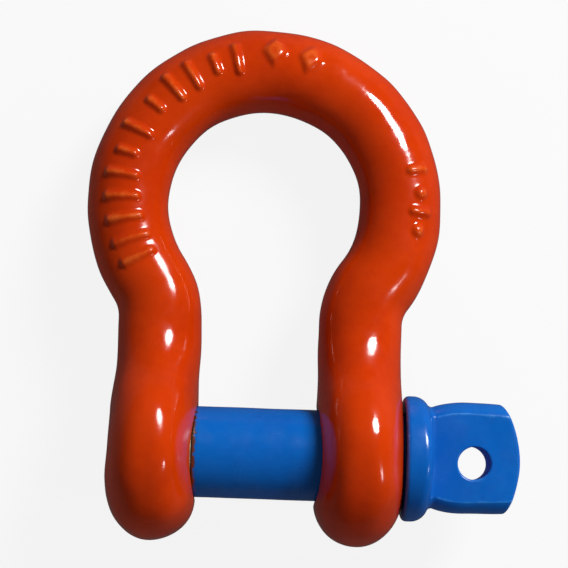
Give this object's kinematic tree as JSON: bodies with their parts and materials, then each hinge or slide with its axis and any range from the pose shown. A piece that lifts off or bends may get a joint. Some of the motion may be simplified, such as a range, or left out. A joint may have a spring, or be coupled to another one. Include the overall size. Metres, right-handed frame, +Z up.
{
  "type": "bow shackle",
  "caption": "Bow shackle: a forged rod bent to a round bow with an ear on each end, closed by a screw pin with a collar and a flat drilled tab.",
  "frame": {"origin": "the middle of the pin's axis between the two ears", "axes": "+X along the pin to its tab, +Y over the bow's opening to the crown, +Z up as the shackle lies on its ears and its crown"},
  "size_m": [0.1237, 0.1455, 0.052],
  "materials": {
    "bow_enamel": "glossy orange-red enamel over forged steel",
    "pin_enamel": "glossy blue enamel over forged steel"
  },
  "bodies": {
    "bow": {"bow": "bow_enamel"},
    "screw_pin": {"screw_pin": "pin_enamel"}
  },
  "joints": [
    {"name": "pin_draw", "type": "slide", "parent": "bow", "child": "screw_pin", "axis": [1, 0, 0], "range_m": [0, 0.1]}
  ]
}
